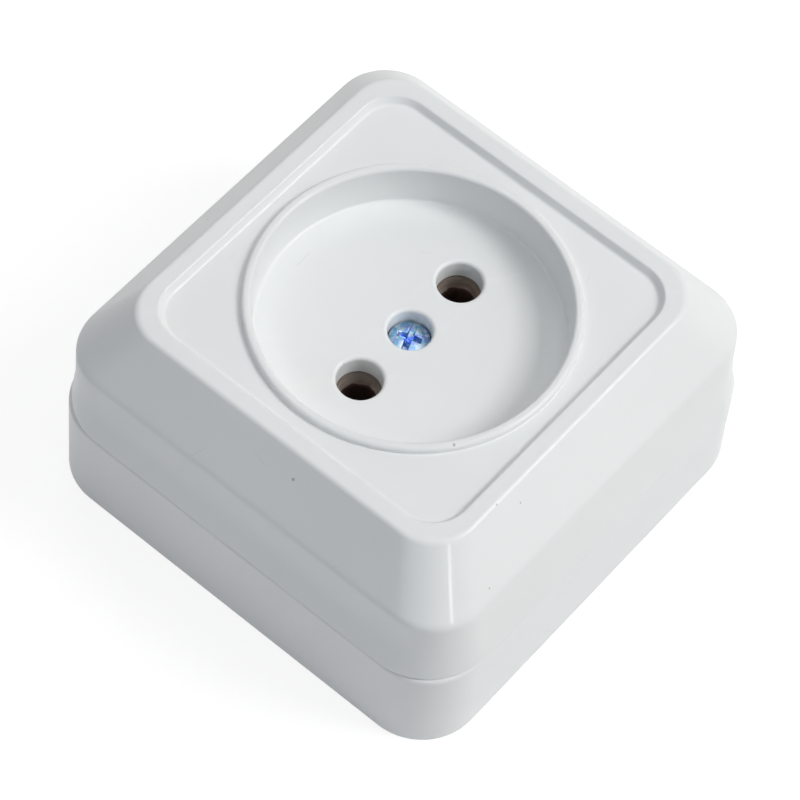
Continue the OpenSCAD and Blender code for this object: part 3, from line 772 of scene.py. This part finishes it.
@dataclass(frozen=True)
class PhotoCamera:
    """The camera at the photo's place, with the photo's slight roll."""

    # Lengths in millimetres and angles in degrees, with the azimuth counted from -Y.
    aim: Point = (-2.307, -1.217, 15.4)
    azimuth: float = -54.984
    elevation: float = 58.266
    distance: float = 463.198
    lens: float = 167.117
    sensor: float = 36.0
    roll: float = -6.132

    def build(self) -> bpy.types.Object:
        """Adds the camera and makes it the scene's own.

        Returns:
            The camera's object.
        """
        side, rise, roll = (math.radians(a) for a in (self.azimuth, self.elevation, self.roll))
        back = Vector((math.sin(side) * math.cos(rise), -math.cos(side) * math.cos(rise), math.sin(rise)))
        level_up = (Vector((0.0, 0.0, 1.0)) - back * back.z).normalized()
        level_right = level_up.cross(back)
        up = math.cos(roll) * level_up + math.sin(roll) * level_right
        right = up.cross(back)
        data = bpy.data.cameras.new("photo_camera")
        data.lens = self.lens
        data.sensor_width = self.sensor
        data.clip_start = 0.01
        data.clip_end = 20.0
        camera = bpy.data.objects.new("photo_camera", data)
        axes = Matrix((right, up, back)).transposed().to_4x4()
        camera.matrix_world = Matrix.Translation((Vector(self.aim) + back * self.distance) * MM) @ axes
        bpy.context.collection.objects.link(camera)
        bpy.context.scene.camera = camera
        return camera


# Meshes


class MeshBuilder:
    """Collects loops of points in millimetres and joins them into one closed mesh."""

    # How a flat area is cut into triangles: only inside its outlines, with points this near merged.
    INSIDE = 1
    NEAR = 1e-6

    def __init__(self) -> None:
        """Starts empty."""
        self.points: Row = []
        self.faces: list[tuple[int, ...]] = []

    def loop(self, points: Iterable[Point]) -> list[int]:
        """Adds points.

        Args:
            points: A sequence of points.
        Returns:
            Their indices.
        """
        first = len(self.points)
        self.points.extend(tuple(float(c) for c in p) for p in points)
        return list(range(first, len(self.points)))

    def bridge(self, first: list[int], second: list[int]) -> None:
        """Joins two closed loops of the same length with quads.

        Args:
            first: Indices of the first loop.
            second: Indices of the second loop.
        """
        count = len(first)
        for i in range(count):
            j = (i + 1) % count
            self.faces.append((first[i], first[j], second[j], second[i]))

    def skin(self, loops: list[list[int]]) -> None:
        """Joins a row of loops.

        Args:
            loops: The loops in order.
        """
        for first, second in zip(loops, loops[1:]):
            self.bridge(first, second)

    def fill(self, outer: list[int], holes: list[list[int]]) -> None:
        """Fills a flat area at one height, leaving its holes open.

        Args:
            outer: The outer loop.
            holes: The loops of the holes.
        """
        used = [i for ring in [outer, *holes] for i in ring]
        flat = [Vector(self.points[i][:2]) for i in used]
        edges = []
        start = 0
        for ring in [outer, *holes]:
            size = len(ring)
            edges += [(start + i, start + (i + 1) % size) for i in range(size)]
            start += size
        _, _, faces, _, _, _ = delaunay_2d_cdt(flat, edges, [], self.INSIDE, self.NEAR)
        rings = [set(ring) for ring in holes]
        for face in (tuple(used[i] for i in face) for face in faces):
            if not any(ring.issuperset(face) for ring in rings):
                self.faces.append(face)

    def slab(self, corners: list[Point], across: Point) -> None:
        """Adds a flat plate of even thickness.

        Args:
            corners: Its four corners in the middle plane.
            across: Half its thickness as a vector.
        """
        low = self.loop(tuple(c - a for c, a in zip(corner, across)) for corner in corners)
        high = self.loop(tuple(c + a for c, a in zip(corner, across)) for corner in corners)
        self.bridge(low, high)
        self.faces.append(tuple(low))
        self.faces.append(tuple(reversed(high)))

    def build(self, name: str, material: bpy.types.Material, sharp: float = 38.0) -> bpy.types.Object:
        """Makes the object with smooth shading and crisp corners.

        Args:
            name: The object's name.
            material: Its material.
            sharp: Edges that turn by more than these degrees stay crisp.
        Returns:
            The object.
        """
        mesh = bpy.data.meshes.new(name)
        mesh.from_pydata([tuple(c * MM for c in p) for p in self.points], [], self.faces)
        work = bmesh.new()
        work.from_mesh(mesh)
        bmesh.ops.recalc_face_normals(work, faces=work.faces)
        work.to_mesh(mesh)
        work.free()
        mesh.shade_smooth()
        mesh.set_sharp_from_angle(angle=math.radians(sharp))
        mesh.materials.append(material)
        piece = bpy.data.objects.new(name, mesh)
        bpy.context.collection.objects.link(piece)
        weigh = piece.modifiers.new("weigh", "WEIGHTED_NORMAL")
        weigh.keep_sharp = True
        return piece


def bent(before: Point, corner: Point, after: Point, setback: float, steps: int = 8) -> Row:
    """Rounds the corner of a profile.

    Args:
        before: The profile's point before the corner.
        corner: The corner.
        after: The point after it.
        setback: Where the rounding starts, measured from the corner.
        steps: Number of segments.
    Returns:
        The points of the rounding.
    """
    most = 0.48
    a, b, c = (np.array(p, dtype=float) for p in (before, corner, after))
    start = b + (a - b) * min(most, setback / np.hypot(*(a - b)[:2]))
    end = b + (c - b) * min(most, setback / np.hypot(*(c - b)[:2]))
    shares = np.linspace(0.0, 1.0, steps + 1)
    return [tuple((1 - t) ** 2 * start + 2 * t * (1 - t) * b + t * t * end) for t in shares]


def arc(centre: tuple[float, float], radius: float, start: float, end: float, steps: int = 8) -> Row:
    """Points of an arc in a profile's plane.

    Args:
        centre: The arc's centre as radius and height.
        radius: The arc's radius.
        start: First angle in degrees.
        end: Last angle in degrees.
        steps: Number of segments.
    Returns:
        Pairs of radius and height.
    """
    angles = np.radians(np.linspace(start, end, steps + 1))
    return [(centre[0] + radius * math.cos(a), centre[1] + radius * math.sin(a)) for a in angles]


def supported(profile: Row, gap: float = 0.16, rows: int = 2) -> Row:
    """Adds points beside the bends of a profile, so that shading stays close to them.

    Args:
        profile: The profile's points.
        gap: Distance from a bend to the first added point.
        rows: Number of points added on each side.
    Returns:
        The fuller profile.
    """
    shortest = 3
    full = [tuple(profile[0])]
    for start, end in zip(profile, profile[1:]):
        a, b = np.array(start, dtype=float), np.array(end, dtype=float)
        length = float(np.linalg.norm((b - a)[:2]))
        steps = [gap * (k + 1) for k in range(rows)]
        if length > shortest * steps[-1]:
            full += [tuple(a + (b - a) * s / length) for s in steps]
            full += [tuple(b + (a - b) * s / length) for s in reversed(steps)]
        full.append(tuple(end))
    return full


@dataclass(frozen=True)
class CoverShell:
    """The moulded cover: sloped sides, raised frame, sunk panel, ring and plug well."""

    # Levels of the outline, each as half a width, a height and a corner radius.
    hem: Point = (32.1, 14.905, 9.3)
    flare: Point = (31.18, 20.376, 7.62)
    waist: Point = (30.95, 26.0, 7.2)
    front: Point = (25.4, 34.0, 6.0)
    wall: float = 2.0
    # How far from a corner of the profile its rounding starts.
    hem_round: float = 0.3
    flare_round: float = 0.8
    waist_round: float = 0.7
    edge_round: float = 0.45
    inner_edge_round: float = 0.2
    # The frame's flat land, the sunk panel, and the levels inside the shell.
    land: float = 1.0
    recess_edge: Point = (23.25, 34.0, 5.14)
    panel: Point = (22.63, 33.0, 4.52)
    panel_round: float = 0.25
    rebate: Point = (31.0, 16.9, 7.0)
    inner_waist: Point = (28.95, 25.374, 5.2)
    ceiling: Point = (25.05, 31.0, 5.0)
    # The raised ring and the plug well inside it.
    ring_out: float = 20.85
    ring_z: float = 33.85
    ring_foot: float = 0.12
    rim: float = 0.5
    well_r: float = 19.6
    well_floor_r: float = 19.3
    well_z: float = 27.75
    well_fillet: float = 0.35
    tube_r: float = 21.2
    under_z: float = 24.75
    # The openings for the pins, and the sunk screw's opening, ledge and boss.
    pin_x: float = 9.5
    pin_hole_r: float = 2.9
    screw_hole_r: float = 2.8
    lip: float = 0.5
    seat_z: float = 24.25
    shank_hole_r: float = 1.65
    boss_r: float = 4.1
    boss_z: float = 22.85
    # The ribs behind the panel.
    rib_half: float = 0.6
    rib_z: float = 26.0
    rib_sunk: float = 0.3
    rib_low_reach: float = 38.0
    rib_high_reach: float = 33.6
    rib_top: float = 0.2
    # Points on a corner, a side and a small hole, and the flat band kept beside a rounding.
    corner_steps: int = 24
    side_steps: int = 48
    hole_steps: int = 72
    flat_rim: float = 1.0

    def _square(self, level: Point) -> Row:
        """A rounded square as a loop.

        Args:
            level: Half width, height and corner radius.
        Returns:
            The loop's points.
        """
        half, height, radius = level
        centre = half - radius
        turn = np.radians(np.arange(self.corner_steps) * 90.0 / self.corner_steps)
        corner = np.stack([centre + radius * np.cos(turn), centre + radius * np.sin(turn)], axis=1)
        slide = np.arange(self.side_steps) / self.side_steps
        side = np.stack([centre * (1 - 2 * slide), np.full(self.side_steps, half)], axis=1)
        quarter = np.concatenate([corner, side])
        points = []
        for turns in range(4):
            spin = math.radians(90.0 * turns)
            x = quarter[:, 0] * math.cos(spin) - quarter[:, 1] * math.sin(spin)
            y = quarter[:, 0] * math.sin(spin) + quarter[:, 1] * math.cos(spin)
            points += [(a, b, height) for a, b in zip(x, y)]
        return points

    def _round(self, radius: float, height: float) -> Row:
        """A circle whose points face those of the squares.

        Args:
            radius: The circle's radius.
            height: Its height.
        Returns:
            The loop's points.
        """
        angles = [math.atan2(y, x) for x, y, _ in self._square(self.panel)]
        return [(radius * math.cos(a), radius * math.sin(a), height) for a in angles]

    def _hole(self, middle: float, radius: float, height: float) -> Row:
        """A small circle on the pins' line.

        Args:
            middle: Its middle along X.
            radius: Its radius.
            height: Its height.
        Returns:
            The loop's points.
        """
        angles = np.arange(self.hole_steps) * 2 * math.pi / self.hole_steps
        return [(middle + radius * math.cos(a), radius * math.sin(a), height) for a in angles]

    def _levels(self) -> Row:
        """The profile of the outline, from the ceiling round the hem to the panel.

        Returns:
            The levels.
        """
        hem_in = (self.rebate[0], self.hem[1], self.rebate[2])
        share = (self.rebate[1] - self.hem[1]) / (self.flare[1] - self.hem[1])
        wall_in = self.hem[0] - self.wall - share * (self.hem[0] - self.flare[0])
        corner_in = self.hem[2] - self.wall - share * (self.hem[2] - self.flare[2])
        land = (self.recess_edge[0] + self.land, self.front[1], self.recess_edge[2] + self.land)
        inward = (self.ring_out, self.panel[1], self.panel[2])
        return [
            self.ceiling,
            self.inner_waist,
            (self.flare[0] - self.wall, self.flare[1], self.flare[2] - self.wall),
            (wall_in, self.rebate[1], corner_in),
            self.rebate,
            hem_in,
            *bent(hem_in, self.hem, self.flare, self.hem_round),
            *bent(self.hem, self.flare, self.waist, self.flare_round),
            *bent(self.flare, self.waist, self.front, self.waist_round),
            *bent(self.waist, self.front, land, self.edge_round),
            *bent(land, self.recess_edge, self.panel, self.inner_edge_round),
            *bent(self.recess_edge, self.panel, inward, self.panel_round),
        ]

    def _turned(self) -> Row:
        """The profile of the ring and the well, from the panel to the well's floor.

        Returns:
            Pairs of radius and height.
        """
        foot = self.ring_foot
        rim = self.rim
        top = self.ring_z - rim
        fillet = self.well_fillet
        inner = self.well_floor_r - fillet
        return [
            *arc((self.ring_out + foot, self.panel[1] + foot), foot, 270.0, 180.0, steps=4),
            *arc((self.ring_out - rim, top), rim, 0.0, 90.0),
            *arc((self.well_r + rim, top), rim, 90.0, 180.0),
            *arc((inner, self.well_z + fillet), fillet, 0.0, -90.0),
            (inner - self.flat_rim, self.well_z),
        ]

    def _lip(self, radius: float) -> Row:
        """The rounded lip of a hole in the well's floor.

        Args:
            radius: The hole's radius.
        Returns:
            Pairs of radius and height, from the floor into the hole.
        """
        bend = arc((radius + self.lip, self.well_z - self.lip), self.lip, 90.0, 180.0)
        return [(radius + self.lip + self.flat_rim, self.well_z), *bend]

    def _ribs(self, mesh: MeshBuilder) -> None:
        """Adds the four ribs that run from the well's tube to the corners.

        Args:
            mesh: The mesh that gets them.
        """
        root = self.tube_r - self.rib_sunk
        top = self.ceiling[1] + self.rib_top
        low = self.rib_z
        reach = [(root, low), (self.rib_low_reach, low), (self.rib_high_reach, top), (root, top)]
        for quarter in range(4):
            angle = math.radians(45.0 + 90.0 * quarter)
            x = math.cos(angle)
            y = math.sin(angle)
            mesh.slab([(r * x, r * y, z) for r, z in reach], (-y * self.rib_half, x * self.rib_half, 0.0))

    def build(self, material: bpy.types.Material) -> bpy.types.Object:
        """Makes the cover.

        Args:
            material: Its material.
        Returns:
            The object.
        """
        mesh = MeshBuilder()
        outline = [mesh.loop(self._square(level)) for level in supported(self._levels())]
        turned = [mesh.loop(self._round(r, z)) for r, z in supported(self._turned())]
        tube = [mesh.loop(self._round(self.tube_r, z)) for z in (self.under_z, self.ceiling[1])]
        mesh.skin([*outline, *turned])
        mesh.bridge(tube[0], tube[1])
        mesh.bridge(tube[1], outline[0])
        lips = []
        ends = []
        for middle in (-self.pin_x, self.pin_x):
            rows = [*self._lip(self.pin_hole_r), (self.pin_hole_r, self.under_z)]
            loops = [mesh.loop(self._hole(middle, r, z)) for r, z in supported(rows)]
            mesh.skin(loops)
            lips.append(loops[0])
            ends.append(loops[-1])
        rows = [
            *self._lip(self.screw_hole_r),
            (self.screw_hole_r, self.seat_z),
            (self.shank_hole_r, self.seat_z),
            (self.shank_hole_r, self.boss_z),
            (self.boss_r, self.boss_z),
            (self.boss_r, self.under_z),
        ]
        loops = [mesh.loop(self._hole(0.0, r, z)) for r, z in supported(rows)]
        mesh.skin(loops)
        mesh.fill(turned[-1], [*lips, loops[0]])
        mesh.fill(tube[0], [*ends, loops[-1]])
        self._ribs(mesh)
        piece = mesh.build("cover_shell", material)
        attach(piece, "root")
        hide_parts("cover")
        return piece


@dataclass(frozen=True)
class CoverScrew:
    """The screw that holds the cover: a low head with a slot and a cross in one recess."""

    # The head, its recess and how the screw is turned.
    head_r: float = 2.65
    seat_z: float = 24.25
    top_z: float = 26.15
    crown: float = 0.5
    edge: float = 0.22
    edge_angles: tuple[float, ...] = (90.0, 65.0, 40.0, 20.0, 0.0)
    seat_edge: float = 0.15
    slot_half: float = 0.42
    slot_depth: float = 0.8
    cross_half: float = 0.4
    cross_reach: float = 1.65
    cross_depth: float = 1.3
    cross_lip: float = 0.1
    turn: float = 20.0
    # The shank and its thread.
    shank_r: float = 1.5
    thread_pitch: float = 0.5
    thread_depth: float = 0.14
    plain_shank: float = 1.5
    pitch_steps: int = 6
    runout_steps: int = 6
    tip_z: float = 12.25
    # Half the run of the recess's walls, and how finely the head is cut up.
    wall_half: float = 0.03
    cell: float = 0.17
    around: int = 144
    rim_gap: float = 0.01
    merge: float = 1e-5

    def _step(self, value: np.ndarray) -> np.ndarray:
        """A steep step from 1 inside to 0 outside.

        Args:
            value: Signed distance, negative inside.
        Returns:
            The step.
        """
        return np.clip((self.wall_half - value) / (2 * self.wall_half), 0.0, 1.0)

    def _height(self, x: np.ndarray, y: np.ndarray) -> np.ndarray:
        """The head's top with its recess, with X along the slot.

        Args:
            x: Places along the slot.
            y: Places across the slot.
        Returns:
            Heights.
        """
        r = np.hypot(x, y)
        dome = self.top_z - self.crown * (r / self.head_r) ** 2
        fall = np.clip((r - (self.head_r - self.edge)) / self.edge, 0.0, 1.0)
        dome = dome - self.edge * (1.0 - np.sqrt(1.0 - fall**2))
        slot = self._step(np.abs(y) - self.slot_half)
        taper = np.sqrt(np.clip(1.0 - r / (self.cross_reach + self.wall_half), 0.0, 1.0))
        arm = np.maximum(
            np.minimum(self._step(np.abs(x) - self.cross_half), self._step(np.abs(y) - self.cross_reach)),
            np.minimum(self._step(np.abs(y) - self.cross_half), self._step(np.abs(x) - self.cross_reach)),
        )
        cut = dome + slot * (np.minimum(dome, self.top_z - self.slot_depth) - dome)
        sunk = self.top_z - self.cross_lip - self.cross_depth * taper
        return np.minimum(cut, dome + arm * (np.minimum(dome, sunk) - dome))

    def _outlines(self) -> list[Row]:
        """The lines where the recess's walls begin and end.

        Returns:
            Open or closed rows of places.
        """
        rows = []
        for way in (-1, 1):
            near = self.wall_half * way
            for side in (-1, 1):
                across = side * (self.slot_half + near)
                end = math.sqrt((self.head_r - self.rim_gap) ** 2 - across**2)
                rows.append([(-end, across), (end, across)])
            for wide, long in ((self.cross_half, self.cross_reach), (self.cross_reach, self.cross_half)):
                a = wide + near
                b = long + near
                rows.append([(-a, -b), (a, -b), (a, b), (-a, b), (-a, -b)])
        return rows

    def _crown(self, mesh: MeshBuilder) -> list[int]:
        """Adds the head's top.

        Args:
            mesh: The mesh that gets it.
        Returns:
            The loop at its edge.
        """
        places = []
        edges = []
        turns = np.arange(self.around) * 2 * math.pi / self.around
        for radius in self.head_r - self.edge * (1.0 - np.sin(np.radians(self.edge_angles))):
            start = len(places)
            places += [(radius * math.cos(t), radius * math.sin(t)) for t in turns]
            edges += [(start + i, start + (i + 1) % self.around) for i in range(self.around)]
        for row in self._outlines():
            start = len(places)
            places += row
            edges += [(start + i, start + i + 1) for i in range(len(row) - 1)]
        lines = np.array([self.slot_half, self.cross_half, self.cross_reach])
        steps = np.arange(-self.head_r, self.head_r, self.cell) + 0.5 * self.cell
        for x in steps:
            for y in steps:
                clear = min(np.abs(lines - abs(x)).min(), np.abs(lines - abs(y)).min()) > 2 * self.wall_half
                if clear and math.hypot(x, y) < self.head_r - self.edge - 0.5 * self.cell:
                    places.append((x, y))
        spots = [Vector(p) for p in places]
        found, _, faces, _, _, _ = delaunay_2d_cdt(spots, edges, [], mesh.INSIDE, self.merge)
        flat = np.array([tuple(p) for p in found])
        spin = math.radians(self.turn)
        x = flat[:, 0] * math.cos(spin) - flat[:, 1] * math.sin(spin)
        y = flat[:, 0] * math.sin(spin) + flat[:, 1] * math.cos(spin)
        ids = mesh.loop(zip(x, y, self._height(flat[:, 0], flat[:, 1])))
        mesh.faces += [tuple(ids[i] for i in face) for face in faces]
        return ids[: self.around]

    def build(self, material: bpy.types.Material) -> bpy.types.Object:
        """Makes the screw.

        Args:
            material: Its material.
        Returns:
            The object.
        """
        mesh = MeshBuilder()
        turns = np.arange(self.around) * 2 * math.pi / self.around + math.radians(self.turn)
        loops = [self._crown(mesh)]
        seat = [
            (self.head_r, self.seat_z + self.seat_edge),
            (self.head_r - self.seat_edge, self.seat_z),
            (self.shank_r, self.seat_z),
        ]
        rows = [(np.full(self.around, r), np.full(self.around, z)) for r, z in seat]
        thread_top = self.seat_z - self.plain_shank
        length = thread_top - self.tip_z
        count = int(length / (self.thread_pitch / self.pitch_steps))
        for k in range(count + 1):
            z = thread_top - k * length / count
            wave = np.cos(2 * math.pi * (z / self.thread_pitch) - turns)
            ease = min(1.0, k / self.runout_steps, (count - k) / self.runout_steps)
            cut = self.thread_depth * ease * (0.5 - 0.5 * wave)
            rows.append((self.shank_r - cut, np.full(self.around, z)))
        loops += [mesh.loop(zip(r * np.cos(turns), r * np.sin(turns), z)) for r, z in rows]
        mesh.skin(loops)
        mesh.faces.append(tuple(loops[-1]))
        piece = mesh.build("cover_screw_head", material, sharp=50.0)
        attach(piece, "root")
        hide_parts("cover_screw")
        return piece


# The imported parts


@dataclass
class FrameDresser:
    """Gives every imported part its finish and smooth, crisp shading."""

    effects: EffectLibrary
    weld: float = 0.002
    smooth_angle: float = 32.0
    materials: dict[Slot, bpy.types.Material] = field(default_factory=dict)

    def material(self, slot: Slot) -> bpy.types.Material:
        """Gives the material of a slot, made on first use.

        Args:
            slot: The slot.
        Returns:
            The material.
        """
        if slot not in self.materials:
            self.materials[slot] = FINISHES[slot].build(self.effects)
        return self.materials[slot]

    def _smoother(self) -> bpy.types.NodeTree:
        """Makes the modifier tree that shades smooth but for sharp edges.

        Returns:
            The geometry node tree.
        """
        tree = bpy.data.node_groups.new("smooth_shading", "GeometryNodeTree")
        tree.interface.new_socket(name="Geometry", in_out="INPUT", socket_type="NodeSocketGeometry")
        tree.interface.new_socket(name="Geometry", in_out="OUTPUT", socket_type="NodeSocketGeometry")
        graph = Graph(tree)
        given = graph.add("NodeGroupInput")
        out = graph.add("NodeGroupOutput")
        merged = graph.add("GeometryNodeMergeByDistance", Geometry=given.outputs[0], Distance=self.weld * MM)
        faces = graph.add("GeometryNodeSetShadeSmooth", {"domain": "FACE"}, Geometry=merged.outputs[0])
        faces.inputs["Shade Smooth"].default_value = True
        turn = graph.add("GeometryNodeInputMeshEdgeAngle").outputs["Unsigned Angle"]
        sharp = graph.add("FunctionNodeCompare", {"operation": "GREATER_THAN", "data_type": "FLOAT"})
        graph.feed(sharp.inputs[0], turn)
        graph.feed(sharp.inputs[1], math.radians(self.smooth_angle))
        edges = graph.add("GeometryNodeSetShadeSmooth", {"domain": "EDGE"}, Geometry=faces.outputs[0])
        graph.feed(edges.inputs["Selection"], sharp.outputs[0])
        edges.inputs["Shade Smooth"].default_value = False
        graph.feed(out.inputs[0], edges.outputs[0])
        return tree

    def build(self) -> None:
        """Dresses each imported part."""
        smoother = self._smoother()
        for name, slot in NODE_SLOT.items():
            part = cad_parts[name]
            part.data.materials.clear()
            part.data.materials.append(self.material(slot))
            shade = part.modifiers.new("smooth", "NODES")
            shade.node_group = smoother
            weigh = part.modifiers.new("weigh", "WEIGHTED_NORMAL")
            weigh.keep_sharp = True
            LOG.info("dressed %s in %s", name, slot.value)


def main() -> None:
    """Builds the scene and logs each piece."""
    logging.basicConfig(level=logging.INFO, format="%(name)s: %(message)s")
    dresser = FrameDresser(EffectLibrary())
    dresser.build()
    for part, slot in ((CoverShell(), Slot.COVER), (CoverScrew(), Slot.COVER_SCREW)):
        piece = part.build(dresser.material(slot))
        LOG.info("built %s with %d faces", piece.name, len(piece.data.polygons))
    Studio().build()
    PhotoCamera().build()
    bpy.context.scene.view_settings.view_transform = "Standard"


if __name__ == "__main__":
    main()
